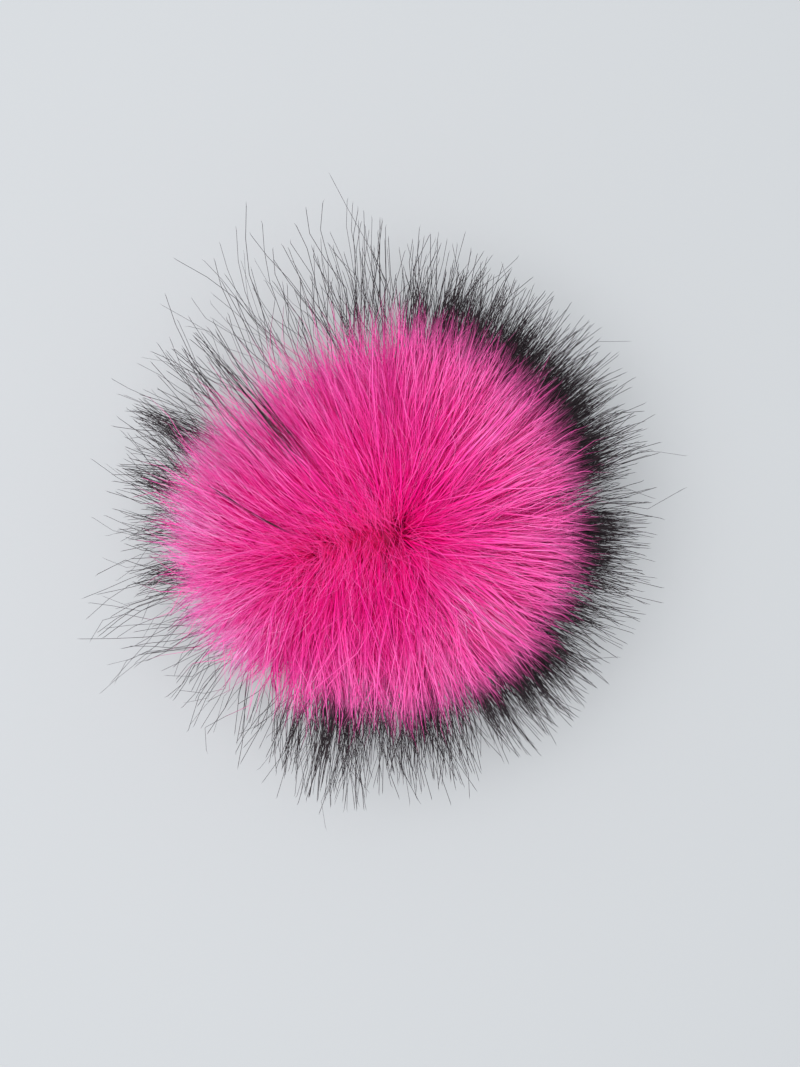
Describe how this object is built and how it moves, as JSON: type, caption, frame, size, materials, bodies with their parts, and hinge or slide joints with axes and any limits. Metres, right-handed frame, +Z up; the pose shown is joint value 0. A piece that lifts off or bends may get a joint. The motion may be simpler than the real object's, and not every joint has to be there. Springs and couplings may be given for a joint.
{
  "type": "pom pom",
  "caption": "Round long-haired faux-fur pom pom, its pile combed outwards from a parting at the crown, resting on its pile.",
  "frame": {"origin": "on the table, under the middle of the fur's outline", "axes": "+Z up out of the crown, +X along the parting's wider side, +Y away from a viewer who stands before it"},
  "size_m": [0.1444, 0.1476, 0.0745],
  "materials": {
    "fur": "long acrylic pile, hot pink with black tips"
  },
  "bodies": {
    "root": {"pom_pom": "fur"}
  },
  "joints": []
}
